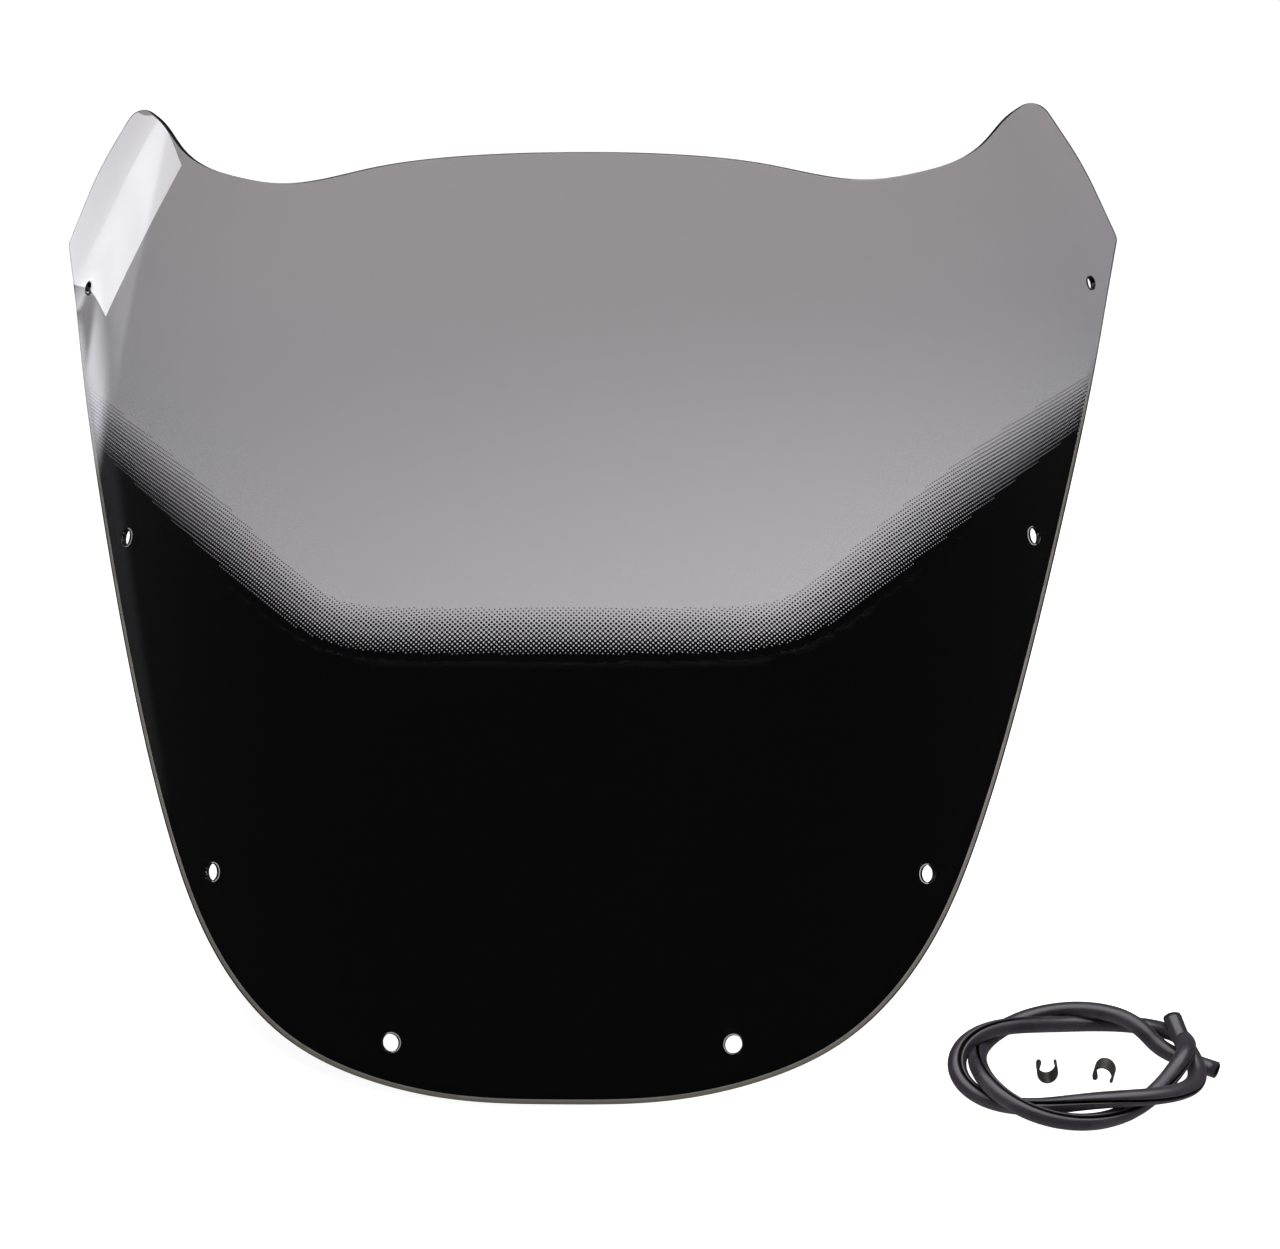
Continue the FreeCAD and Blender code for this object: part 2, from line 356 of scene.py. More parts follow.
@dataclass(frozen=True)
class TintedAcrylic(Finish):
    """Clear grey acrylic: the tint is in the transmitted colour, under a polished face."""

    name: str = "tinted_acrylic"
    color: tuple = (0.284, 0.277, 0.293)
    worn_color: tuple = (0.300, 0.279, 0.280)
    roughness: float = 0.0
    rough_spread: float = 0.012
    cloud_scale: float = 9.0
    grain_scale: float = 60.0
    bump: float = 0.004
    bump_distance: float = 0.0001
    warm_from: float = 0.22
    warm_to: float = 0.33
    # Painted reflection: the dark olive that the lower rim takes for the black print reflected
    # inside the sheet's edge, and the heights over which it fades in.
    rim_painted_reflection_color: tuple = (0.100, 0.092, 0.074)
    rim_painted_reflection_from: float = 0.215
    rim_painted_reflection_to: float = 0.185
    sockets: tuple = (("Transmission Weight", 1.0), ("IOR", 1.49), ("Metallic", 0.0))

    def build(self) -> bpy.types.Material:
        """The tint, which warms a little toward the top, and is darkened along the lower rim by a
        painted reflection of the black print inside the sheet's edge.
        """
        material, make, surface, _ = self.shader()
        height = make.axes(make.where())["Z"]
        warm = make.remap(height, self.warm_from, self.warm_to)
        tint = make.mix_color(warm, self.color, self.worn_color)
        # Painted reflection of the black print: low on the sheet, the rim vertices turn from the
        # tint to dark olive.
        low = make.remap(height, self.rim_painted_reflection_from, self.rim_painted_reflection_to)
        painted_rim_reflection_mask = make.add("ShaderNodeAttribute", attribute_name="rim").outputs["Fac"]
        tint_with_painted_reflection = make.mix_color(make.math("MULTIPLY", low, painted_rim_reflection_mask), tint, self.rim_painted_reflection_color)
        make.link(tint_with_painted_reflection, surface.inputs["Base Color"])
        return material


@dataclass(frozen=True)
class MaskInk(Finish):
    """Black screen print, glossy where it sits on the sheet."""

    name: str = "mask_ink"
    color: tuple = (0.004, 0.004, 0.0045)
    worn_color: tuple = (0.007, 0.007, 0.008)
    roughness: float = 0.32
    rough_spread: float = 0.12
    grain_scale: float = 900.0
    bump: float = 0.05
    sockets: tuple = (("IOR", 1.45),)


@dataclass(frozen=True)
class TrimRubber(Finish):
    """Extruded rubber: satin, a purplish black, with faint lengthwise die lines."""

    name: str = "trim_rubber"
    color: tuple = (0.042, 0.035, 0.046)
    worn_color: tuple = (0.078, 0.066, 0.084)
    roughness: float = 0.26
    rough_spread: float = 0.16
    cloud_scale: float = 45.0
    grain_scale: float = 900.0
    bump: float = 0.12
    bump_distance: float = 0.00012
    line_count: float = 26.0
    line_tone: float = 0.12
    line_height: float = 0.18
    sockets: tuple = (("IOR", 1.5), ("Coat Weight", 0.25), ("Coat Roughness", 0.28))

    def build(self) -> bpy.types.Material:
        """The rubber with its die lines, which follow the strip's own UV."""
        material, make, surface, marks = self.shader()
        uv = make.add("ShaderNodeUVMap", uv_map="UVMap").outputs["UV"]
        turns = make.math("MULTIPLY", make.axes(uv)["Y"], self.line_count * math.tau)
        lines = make.math("SINE", turns)
        tone = make.math("MULTIPLY", lines, self.line_tone)
        shade = make.math("ADD", tone, marks.outputs["Cloud"])
        make.link(make.mix_color(shade, self.color, self.worn_color), surface.inputs["Base Color"])
        bump = surface.inputs["Normal"].links[0].from_node
        ridge = make.math("MULTIPLY", lines, self.line_height)
        make.link(make.math("ADD", ridge, marks.outputs["Height"]), bump.inputs["Height"])
        return material


@dataclass(frozen=True)
class SpringClipFinish(Finish):
    """Dark phosphated spring strip, satin, lighter where it has rubbed."""

    name: str = "spring_clip"
    color: tuple = (0.070, 0.064, 0.056)
    worn_color: tuple = (0.125, 0.118, 0.105)
    roughness: float = 0.36
    rough_spread: float = 0.14
    cloud_scale: float = 160.0
    grain_scale: float = 1400.0
    bump: float = 0.15
    bump_distance: float = 0.00005
    sockets: tuple = (("Metallic", 0.55), ("IOR", 1.5))


@dataclass(frozen=True)
class FloorFinish(Finish):
    """Matt white studio floor, kept dim in the reflections of the polished sheet."""

    name: str = "studio_floor"
    color: tuple = (0.80, 0.80, 0.80)
    worn_color: tuple = (0.79, 0.79, 0.79)
    roughness: float = 0.9
    rough_spread: float = 0.05
    cloud_scale: float = 1.5
    bump: float = 0.0
    glow: float = 0.62
    # Strength, middle and reach of the painted pool of light in the floor's emission.
    pool: float = 0.95
    pool_at: tuple = (0.20, 0.25, 0.0)
    pool_reach: float = 0.75
    mirrored: float = 0.04
    sockets: tuple = (("Specular IOR Level", 0.0),)

    def build(self) -> bpy.types.Material:
        """The floor, nearly black to a mirrored ray, with a painted pool of light behind the
        screen, glowing from the floor's own emission.

        The pool falls off smoothly with the distance from its middle.
        """
        material, make, surface, marks = self.shader()
        rays = make.add("ShaderNodeLightPath").outputs
        seen = make.math("SUBTRACT", 1.0, make.math("GREATER_THAN", rays["Glossy Depth"], 0.5))
        tone = make.mix_color(marks.outputs["Cloud"], self.color, self.worn_color)
        shown = make.mix_color(seen, (self.mirrored,) * 3, tone)
        # Painted pool of light: the floor's emission is strongest around pool_at and falls off to
        # the even glow at pool_reach.
        far = make.add("ShaderNodeVectorMath", {0: make.where(), 1: self.pool_at},
                       operation="DISTANCE").outputs["Value"]
        fall = make.remap(far, 0.0, self.pool_reach, self.glow + self.pool, self.glow, "SMOOTHSTEP")
        for source, target in ((shown, "Base Color"), (shown, "Emission Color"),
                               (fall, "Emission Strength")):
            make.link(source, surface.inputs[target])
        return material


# ---------------------------------------------------------------- the sheet


@dataclass
class SheetForm:
    """The curved sheet as a depth over its front plane, with its outline and holes.

    Outline points are shares of the half-width and of the height. A hole place is two such
    shares and the hole's diameter.
    """

    half_width: float = 0.270
    height: float = 0.468
    thickness: float = 0.003
    recline: float = math.radians(28.5)
    flat: float = 0.080
    side_slope: float = 1.51
    top_depth: float = 0.081
    ear_flare: float = 0.35
    ear_soft: float = 0.004
    tip_round: float = 0.010
    side_round: float = 0.150
    corner_round: float = 0.007
    sample: float = 0.0035
    arc_points: int = 9
    run_points: int = 8
    hole_corners: int = 32
    probe: float = 2e-5
    sweep: tuple = ((0.0, 0.0), (0.167, 0.003), (0.326, 0.020), (0.463, 0.053), (0.556, 0.098),
                    (0.633, 0.160), (0.693, 0.235), (0.785, 0.391), (0.878, 0.577), (0.944, 0.720),
                    (0.993, 0.850))
    corner: tuple = (1.003, 0.869)
    ear_side: tuple = (0.931, 0.945)
    ear_tip: tuple = (0.838, 1.013)
    brow: tuple = ((0.785, 0.988), (0.730, 0.950), (0.665, 0.922), (0.596, 0.906), (0.520, 0.895),
                   (0.435, 0.895), (0.345, 0.903), (0.200, 0.911), (0.0, 0.914))
    hole_places: tuple = ((0.281, 0.055, 0.008), (0.607, 0.207, 0.008), (0.811, 0.539, 0.008),
                          (0.942, 0.815, 0.007))
    crease: tuple = ((0.808, 1.0), (0.959, 0.825))

    def ear_distance(self, x: Array, t: Array) -> Array:
        """Signed distance outside the crease line of the ear wing."""
        (ax, at), (bx, bt) = [(u * self.half_width, v * self.height) for u, v in self.crease]
        return ((np.abs(x) - ax) * (at - bt) + (t - at) * (bx - ax)) / math.hypot(bx - ax, bt - at)

    def depth(self, x: Array, t: Array) -> Array:
        """Depth of the front face.

        Across, the slope grows as sqrt(x^2 + f^2) - f, where f is the flat half-width, and the
        depth is its integral. Up the plane the depth grows as t^2. The ear wing gives some depth
        back past its crease.
        """
        f = self.flat
        wrap = self.side_slope / (math.hypot(self.half_width, f) - f)
        ax = np.abs(x)
        across = 0.5 * ax * np.hypot(ax, f) + 0.5 * f * f * np.arcsinh(ax / f) - f * ax
        up = self.top_depth * (t / self.height) * np.abs(t / self.height)
        wing = self.ear_flare * soft_ramp(self.ear_distance(x, t), self.ear_soft)
        return wrap * across + up - wing

    def place(self, x: Array, t: Array, d: Array) -> Array:
        """Front-plane coordinates and depth turned into the row frame."""
        c, s = math.cos(self.recline), math.sin(self.recline)
        return np.stack([x, t * s + d * c, t * c - d * s + self.thickness * s], -1)

    def front(self, p: Array) -> Array:
        """Points of the front face over points of the front plane."""
        return self.place(p[:, 0], p[:, 1], self.depth(p[:, 0], p[:, 1]))

    def tangents(self, p: Array) -> tuple[Array, Array, Array]:
        """The two surface tangents, by central differences, and the outward unit normal."""
        h = self.probe
        across, along = ((self.front(p + step) - self.front(p - step)) / (2 * h)
                         for step in (np.array([h, 0.0]), np.array([0.0, h])))
        return across, along, unit(np.cross(across, along))

    def to_plane(self, p: Array, step: Array) -> Array:
        """Front-plane moves that make the given small moves in the tangent plane at p."""
        across, along, _ = self.tangents(p)
        e, f, g = (across**2).sum(1), (across * along).sum(1), (along**2).sum(1)
        u, v = (step * across).sum(1), (step * along).sum(1)
        det = e * g - f * f
        return np.stack([(g * u - f * v) / det, (e * v - f * u) / det], -1)

    def rim_frame(self, rim: Array) -> tuple[Array, Array]:
        """Unit normals along a closed rim, and unit vectors that point out of it along the face."""
        ahead = np.roll(rim, -1, axis=0) - np.roll(rim, 1, axis=0)
        across, along, normal = self.tangents(rim)
        return normal, unit(np.cross(across * ahead[:, :1] + along * ahead[:, 1:], normal))

    def moved_in(self, rim: Array, distance: float) -> Array:
        """A closed rim moved in by a distance that is measured along the face."""
        _, outward = self.rim_frame(rim)
        return rim - self.to_plane(rim, outward * distance)

    def rounded(self, start: Array, knee: Array, end: Array, radius: float) -> Array:
        """Points of the arc that rounds a knee of the outline."""
        u, v = unit(start - knee), unit(end - knee)
        half = 0.5 * math.acos(float(u @ v))
        centre = knee + unit(u + v) * radius / math.sin(half)
        first, last = (knee + w * radius / math.tan(half) - centre for w in (u, v))
        share = np.linspace(0.0, 1.0, self.arc_points)[:, None]
        span = math.pi - 2.0 * half
        blend = np.sin((1 - share) * span) * first + np.sin(share * span) * last
        return centre + blend / math.sin(span)

    def outline(self) -> Array:
        """The closed outline, counter-clockwise from the left corner's lower end."""
        scale = np.array([self.half_width, self.height])
        sweep, brow = np.array(self.sweep) * scale, np.array(self.brow) * scale
        corner, bow, tip = (np.array(k) * scale for k in (self.corner, self.ear_side, self.ear_tip))
        low_arc = self.rounded(sweep[-1], corner, bow, self.corner_round)
        bow_arc = self.rounded(corner, bow, tip, self.side_round)
        tip_arc = self.rounded(bow, tip, brow[0], self.tip_round)
        flip = np.array([-1.0, 1.0])
        lower = np.concatenate([sweep[:-1], low_arc[:1]])
        low_line = spline_through(np.concatenate([lower[:0:-1] * flip, lower]), self.sample)
        upper = np.concatenate([tip_arc[-1:], brow])
        top_line = spline_through(np.concatenate([upper, upper[-2::-1] * flip]), self.sample)
        steps = np.linspace(0.0, 1.0, self.run_points)[1:-1, None]
        lower_run = low_arc[-1] * (1 - steps) + bow_arc[0] * steps
        upper_run = bow_arc[-1] * (1 - steps) + tip_arc[0] * steps
        right = np.concatenate([low_arc[1:], lower_run, bow_arc, upper_run, tip_arc])
        return np.concatenate([low_line, right[:-1], top_line, (right * flip)[::-1][1:-1]])

    def holes(self, growth: float = 0.0) -> list:
        """The screw holes, circles square to the sheet: centre, radius and front-plane loop."""
        made = []
        turn = np.linspace(0.0, math.tau, self.hole_corners + 1)[:-1, None]
        for u, v, diameter in self.hole_places:
            radius = 0.5 * diameter + growth
            for side in (1.0, -1.0):
                centre = np.array([[side * u * self.half_width, v * self.height]])
                across, _, normal = self.tangents(centre)
                e1 = unit(across)
                ring = radius * (np.cos(turn) * e1 + np.sin(turn) * np.cross(normal, e1))
                loop = centre + self.to_plane(np.repeat(centre, len(ring), axis=0), ring)
                made.append((centre, radius, loop))
        return made


@dataclass
class ScreenSheet:
    """The tinted sheet: two faces, a rounded rim and eight drilled holes with broken edges."""

    form: SheetForm = field(default_factory=SheetForm)
    edge_round: float = 0.0009
    hole_break: float = 0.0003
    spacing: float = 0.0050
    round_points: int = 5

    def rim_profile(self) -> Array:
        """Rim section as (outward offset, drop below the front face), with two quarter rounds."""
        r = self.edge_round
        turn = np.linspace(0.0, 0.5 * math.pi, self.round_points)
        front = np.stack([-r + r * np.sin(turn), r - r * np.cos(turn)], -1)
        back = front[::-1] * [1.0, -1.0] + [0.0, self.form.thickness]
        return np.concatenate([front, back])

    def rim_rows(self, rim: Array) -> tuple[Array, Array]:
        """Rows of points round the rim between the two faces, and their normals."""
        normal, outward = self.form.rim_frame(rim)
        profile = self.rim_profile()
        slant = np.gradient(profile, axis=0)
        steps = self.form.front(rim) + profile[:, :1, None] * outward \
            - profile[:, 1:, None] * normal
        lean = slant[:, 1:, None] * outward + slant[:, :1, None] * normal
        return steps[1:-1], unit(lean)[1:-1]

    def bore_rows(self, centre: Array, radius: float, loop: Array) -> tuple[Array, Array]:
        """The two rings of points in a hole between its broken edges, and their normals."""
        axis = self.form.tangents(centre)[2]
        hub = self.form.front(centre)
        spoke = self.form.front(loop) - hub
        spoke = unit(spoke - (spoke @ axis[0])[:, None] * axis)
        bore = hub + spoke * (radius - self.hole_break)
        drops = (self.hole_break, self.form.thickness - self.hole_break)
        return np.stack([bore - axis * drop for drop in drops]), np.stack([-spoke, -spoke])

    def build(self) -> bpy.types.Object:
        """Mesh the sheet.

        Each face is the depth formula over one triangulated region, the inner one moved inward
        along the normal. The rim is its profile carried along the outline, and each hole is a
        short tube.

        Returns:
            The sheet object.
        """
        form = self.form
        rim = form.outline()
        holes = form.holes(self.hole_break)
        loops = [loop for _, _, loop in holes]
        plane, tri, rings = fill_plane(form.moved_in(rim, self.edge_round), loops, self.spacing)
        top, up = form.front(plane), form.tangents(plane)[2]
        count = len(plane)
        verts, norms = [top, top - up * form.thickness], [up, -up]
        faces = tri.tolist() + (tri[:, ::-1] + count).tolist()
        total = 2 * count
        walls = [self.rim_rows(rim)] + [self.bore_rows(*hole) for hole in holes]
        for index, ((points, normals), ring) in enumerate(zip(walls, rings)):
            numbers = total + np.arange(points.size // 3).reshape(-1, len(ring))
            rows = [ring, *numbers, ring + count]
            for upper, lower in zip(rows[:-1], rows[1:]):
                faces += band(upper, lower, inward=index > 0)
            verts.append(points.reshape(-1, 3))
            norms.append(normals.reshape(-1, 3))
            total += numbers.size
        obj = new_object("screen_sheet", np.concatenate(verts), faces)
        obj.data.normals_split_custom_set_from_vertices(np.concatenate(norms).tolist())
        # Mask of the rim vertices for the painted reflection of the black print, which darkens the
        # tint along the lower rim.
        painted_rim_reflection_mask = np.zeros(total)
        painted_rim_reflection_mask[np.concatenate([rings[0], rings[0] + count])] = 1.0
        painted_rim_reflection_mask[2 * count:2 * count + len(verts[2])] = 1.0
        obj.data.attributes.new("rim", "FLOAT", "POINT").data.foreach_set("value", painted_rim_reflection_mask)
        obj.data.materials.append(TintedAcrylic().build())
        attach(obj, "screen")
        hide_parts("screen_shell")
        return obj


# ---------------------------------------------------------------- the mask print


@dataclass
class MaskPrint:
    """The print on the inner face: a solid field and a dotted upper edge."""

    form: SheetForm = field(default_factory=SheetForm)
    inset: float = 0.0020
    behind: float = 0.00003
    ink: float = 0.00012
    hole_margin: float = 0.0006
    solid_top: float = 0.1953
    solid_flat: float = 0.112
    solid_slope: float = 0.80
    solid_ramp: float = 0.014
    side_step: float = 0.0004
    limit_samples: int = 160
    spacing: float = 0.006
    fade_top: float = 0.220
    fade_flat: float = 0.104
    fade_slope: float = 0.98
    fade_ramp: float = 0.008
    fade_ease: float = 1.4
    shift: float = 0.003
    pitch_across: float = 0.00236
    pitch_up: float = 0.00222
    crowd_reach: float = 0.265
    row_bow: float = 3.2
    table_reach: float = 1.02
    table_samples: int = 1200
    lowest_row: float = 0.9
    highest_row: float = 0.95
    first_dot: float = 0.09
    last_gap: float = 0.93
    last_tile: float = 1.06
    fullest: float = 0.98
    square_from: float = 0.55
    square_over: float = 0.45
    corners: int = 12

    def solid_limit(self, x: Array) -> Array:
        """Upper limit of the solid field over the front plane: level, then a straight rise."""
        run = soft_ramp(np.abs(x + self.shift) - self.solid_flat, self.solid_ramp)
        return self.solid_top + self.solid_slope * run

    def fade_limit(self, x: Array) -> Array:
        """Upper limit of the dots: level, then a rise that eases off toward the sides."""
        run = soft_ramp(np.abs(x + self.shift) - self.fade_flat, self.fade_ramp)
        return self.fade_top + self.fade_slope * run - self.fade_ease * run**2

    def coverage(self, p: Array) -> Array:
        """Share of the sheet that the print covers: 0 at the dots' limit, 1 at the solid field."""
        high, low = self.fade_limit(p[:, 0]), self.solid_limit(p[:, 0])
        return (high - p[:, 1]) / (high - low)

    def inner_rim(self) -> Array:
        """The outline less the bare margin."""
        return self.form.moved_in(self.form.outline(), self.inset)

    def layer(self, name: str, p: Array, thick: float, faces: list,
              walls: list) -> bpy.types.Object:
        """Front-plane points as a thin layer of ink behind the inner face.

        Args:
            name: The object's name.
            p: Points of the front plane.
            thick: Thickness of the layer.
            faces: The faces toward the sheet, which the layer's back repeats the other way round.
            walls: Faces that join the two.

        Returns:
            The object.
        """
        top, up = self.form.front(p), self.form.tangents(p)[2]
        level = self.form.thickness + self.behind
        verts = np.concatenate([top - up * level, top - up * (level + thick)])
        back = [[i + len(p) for i in reversed(face)] for face in faces]
        return new_object(name, verts, faces + back + walls)

    def solid(self) -> bpy.types.Object:
        """The solid field, closed round its rim and its holes."""
        rim = self.inner_rim()
        rim = rim[rim[:, 1] < self.solid_limit(rim[:, 0])]
        side = rim[:, 0].max() - self.side_step
        xs = np.linspace(side, -side, self.limit_samples)
        limit = np.stack([xs, self.solid_limit(xs)], -1)
        loops = [loop for _, _, loop in self.form.holes(self.hole_margin)]
        holes = [h for h in loops if h[:, 1].max() < self.solid_limit(h[:, 0]).min()]
        outer = np.concatenate([rim[np.argsort(rim[:, 0])], limit])
        plane, tri, rings = fill_plane(outer, holes, self.spacing)
        walls = [quad for ring in rings for quad in band(ring, ring + len(plane))]
        return self.layer("mask_field", plane, self.ink, tri.tolist(), walls)

    def crowded(self, x: Array) -> Array:
        """Lattice coordinate across, u = x + x (x / r)^5 / 6, which crowds the side columns."""
        return x + x * (x / self.crowd_reach) ** 5 / 6.0

    def to_front_plane(self, u: Array, v: Array) -> Array:
        """Lattice coordinates turned into front-plane points.

        Across, x is looked up from u. Up, t = v (1 - bow * x^2), so that the rows bow down toward
        the sides, as a flat print does when the sheet is formed.
        """
        table = np.linspace(0.0, self.form.half_width * self.table_reach, self.table_samples)
        x = np.sign(u) * np.interp(np.abs(u), self.crowded(table), table)
        return np.stack([x, v * (1.0 - self.row_bow * x**2)], -1)

    def tiles(self, step: Array) -> tuple[Array, Array, Array]:
        """The half-pitch squares that carry dots: centre, coverage, and whether each is dark."""
        far = int(self.crowded(np.array(self.form.half_width)) / step[0])
        first, last = (int(edge / step[1]) for edge in (self.solid_top * self.lowest_row,
                                                        self.form.height * self.highest_row))
        ci, ri = (a.ravel() for a in np.meshgrid(np.arange(-far, far + 1), np.arange(first, last)))
        centre = np.stack([ci, ri], -1) * step
        spot = self.to_front_plane(centre[:, 0], centre[:, 1])
        cover = self.coverage(spot)
        keep = (cover > self.first_dot) & (cover < self.last_tile)
        keep &= np.abs(spot[:, 0]) < self.form.half_width
        keep[keep] = inside(spot[keep], self.inner_rim())
        return centre[keep], np.clip(cover[keep], 0.0, 1.0), ((ci + ri) % 2 == 0)[keep]

    def fade(self) -> bpy.types.Object:
        """The dots.

        The plane is tiled by a checkerboard of half-pitch squares. On a dark square the print is
        a round dot that squares up until it fills the square at half coverage. On a light square
        it is the square less a round window, which closes at full coverage. A window or dot of
        share s has the radius that gives it that share.
        """
        step = 0.5 * np.array([self.pitch_across, self.pitch_up])
        centre, cover, dark = self.tiles(step)
        turn = (np.arange(self.corners) + 0.5) / self.corners * math.tau
        ray = np.stack([np.cos(turn), np.sin(turn)], -1)
        box = ray / np.abs(ray).max(axis=1)[:, None]

        def ring(places: Array, share: Array) -> Array:
            """A loop round each place that holds this share of a tile: round when small."""
            share = np.minimum(share, self.fullest)
            radius = np.sqrt(share * 4.0 / math.pi)[:, None, None]
            square = np.clip((share - self.square_from) / self.square_over, 0.0, 1.0)
            square = square[:, None, None] ** 2
            loop = (ray * radius * (1 - square) + box * square) * (step * 0.5)
            return centre[places][:, None] + loop

        dots = dark & (cover < 0.5)
        full = (dark & (cover >= 0.5)) | (~dark & (cover >= self.last_gap))
        windows = ~dark & (cover > 0.5) & (cover < self.last_gap)
        whole = centre[:, None] + box * (step * 0.5)
        framed = np.concatenate([whole[windows], ring(windows, 2 * (1 - cover[windows]))], axis=1)
        loops = (ring(dots, 2 * cover[dots]), whole[full], framed)
        flat = np.concatenate([loop.reshape(-1, 2) for loop in loops])
        n, filled = self.corners, dots.sum() + full.sum()
        polygons = np.arange(filled * n).reshape(-1, n).tolist()
        base = (filled * n + np.arange(windows.sum()) * 2 * n)[:, None]
        start, after = base + np.arange(n), base + (np.arange(n) + 1) % n
        frames = np.stack([start, after, after + n, start + n], -1).reshape(-1, 4).tolist()
        points = self.to_front_plane(flat[:, 0], flat[:, 1])
        return self.layer("mask_dots", points, 0.5 * self.ink, polygons + frames, [])

    def build(self) -> list:
        """Both parts of the print, dressed and riding on the screen."""
        pieces = [self.solid(), self.fade()]
        ink = MaskInk().build()
        for piece in pieces:
            piece.data.materials.append(ink)
            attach(piece, "screen")
            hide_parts("mask_print")
        return pieces


# ---------------------------------------------------------------- the coiled trim


@dataclass
class EdgeTrim:
    """The slit rubber trim, wound twice into a loosely woven loop.

    Places along the route are degrees of its sweep.
    """

    centre: tuple = (0.2263, 0.024)
    long_half: float = 0.0487
    wide_half: float = 0.0345
    diameter: float = 0.0078
    wall: float = 0.0010
    slit: float = 0.0014
    flatten: float = 0.13
    widen: float = 0.6
    sweep_degrees: float = 757.0
    start_degrees: float = 37.0
    points_per_turn: int = 24
    smoothness: int = 10
    waves_per_turn: float = 2.4
    sway: float = 0.0050
    sway_phase: float = 205.0
    lift: float = 0.0036
    lift_phase: float = 25.0
    calm: tuple = (706.0, 28.0)
    head_lift: float = 0.0085
    head_fall: float = 62.0
    head_swing: float = 0.0105
    head_reach: float = 27.0
    tail: tuple = (727.0, 30.0)
    tail_swing: float = 0.0150
    bridge: tuple = (396.0, 26.0)
    bridge_lift: float = 0.0032
    outer_points: int = 30
    inner_points: int = 22
    lip_turn: float = 0.25
    lip_round: float = 0.3
    slit_at: float = math.radians(125.0)
    slit_sway: float = 0.9
    slit_waves: float = 2.3
    slit_phase: float = 0.6

    def route(self) -> Array:
        """Control points of the two turns.

        The angle runs clockwise. The radius sways and the height rises and falls 2.4 times a
        turn, so that each turn passes over and under the other. The first end climbs on to the
        loop, a bridge lifts the second turn's start, and the last end slips out flat.
        """
        steps = int(self.sweep_degrees / 360.0 * self.points_per_turn) + 1
        run = np.linspace(0.0, self.sweep_degrees, steps)
        wave = self.waves_per_turn / 360.0 * math.tau
        head = 0.5 + 0.5 * np.cos(math.pi * np.clip(run / self.head_fall, 0.0, 1.0))
        tail, settled = (np.clip((run - start) / over, 0.0, 1.0)
                         for start, over in (self.tail, self.calm))
        sway = self.sway * np.cos(wave * (run - self.sway_phase))
        sway += self.head_swing * np.clip(1.0 - run / self.head_reach, 0.0, 1.0) ** 2 \
            + self.tail_swing * tail**2
        lift = self.lift * (1.0 - np.cos(wave * (run - self.lift_phase))) * (1.0 - settled)
        lift += self.head_lift * head \
            + self.bridge_lift * np.exp(-(((run - self.bridge[0]) / self.bridge[1]) ** 2))
        angle = np.radians(self.start_degrees - run)
        x = self.centre[0] + (self.long_half + sway) * np.cos(angle)
        y = self.centre[1] + (self.wide_half + sway) * np.sin(angle)
        return np.stack([x, y, 0.5 * self.diameter + lift], -1)

    def spline(self) -> Array:
        """The smooth route, read from a NURBS curve over the control points."""
        points = self.route()
        curve = bpy.data.curves.new("trim_route", "CURVE")
        curve.dimensions = "3D"
        curve.resolution_u = self.smoothness
        line = curve.splines.new("NURBS")
        line.points.add(len(points) - 1)
        weighted = np.concatenate([points, np.ones((len(points), 1))], 1)
        line.points.foreach_set("co", weighted.ravel())
        line.order_u = 3
        line.use_endpoint_u = True
        holder = linked(bpy.data.objects.new("trim_route", curve))
        mesh = bpy.data.meshes.new_from_object(holder)
        path = np.empty(len(mesh.vertices) * 3)
        mesh.vertices.foreach_get("co", path)
        bpy.data.objects.remove(holder)
        bpy.data.curves.remove(curve)
        bpy.data.meshes.remove(mesh)
        return path.reshape(-1, 3)

    def section(self) -> tuple[Array, Array]:
        """The slit ring's closed section as angle from the slit and radius.

        The outside runs round from one lip to the other, and the inside runs back.
        """
        outer, inner = 0.5 * self.diameter, 0.5 * self.diameter - self.wall
        gap = 0.5 * self.slit / outer
        first = gap + self.lip_turn * self.wall / outer
        high, low = outer - self.lip_round * self.wall, inner + self.lip_round * self.wall
        angle = np.concatenate([
            [gap], np.linspace(first, math.tau - first, self.outer_points), [math.tau - gap] * 2,
            np.linspace(math.tau - first, first, self.inner_points), [gap]])
        radius = np.concatenate([[high], np.full(self.outer_points, outer), [high, low],
                                 np.full(self.inner_points, inner), [low]])
        return angle, radius

    def build(self) -> bpy.types.Object:
        """Carry the slit section along the route, the slit turning slowly round it."""
        path = self.spline()
        ahead = unit(np.gradient(path, axis=0))
        side = unit(np.cross(ahead, np.array([0.0, 0.0, 1.0])))
        rise = np.cross(side, ahead)
        angle, radius = self.section()
        share = np.linspace(0.0, 1.0, len(path))
        swing = np.sin(share * math.tau * self.slit_waves + self.slit_phase)
        turn = (self.slit_at + self.slit_sway * swing)[:, None] + angle[None]
        wide, low = 1.0 + self.widen * self.flatten, 1.0 - self.flatten
        ring = side[:, None] * (np.cos(turn) * radius * wide)[..., None] \
            + rise[:, None] * (np.sin(turn) * radius * low)[..., None]
        verts = path[:, None] + ring
        rows, cols = len(path), len(angle)
        faces = grid_faces(rows, cols)
        half = cols // 2
        for row, flip in ((0, False), (rows - 1, True)):
            near = row * cols + np.arange(half)
            far = row * cols + cols - 1 - np.arange(half)
            cap = np.stack([near[:-1], near[1:], far[1:], far[:-1]], -1)
            faces += (cap[:, ::-1] if flip else cap).tolist()
        obj = new_object("edge_trim", verts.reshape(-1, 3), faces)
        length = run_length(path)
        grid = np.meshgrid(length / self.diameter, np.linspace(0.0, 1.0, cols), indexing="ij")
        set_uv(obj, np.stack([axis.ravel() for axis in grid], -1))
        obj.data.materials.append(TrimRubber().build())
        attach(obj, "trim")
        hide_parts("edge_trim_coil")
        LOG.info("edge trim: %.3f m long", length[-1])
        return obj


# ---------------------------------------------------------------- the clips


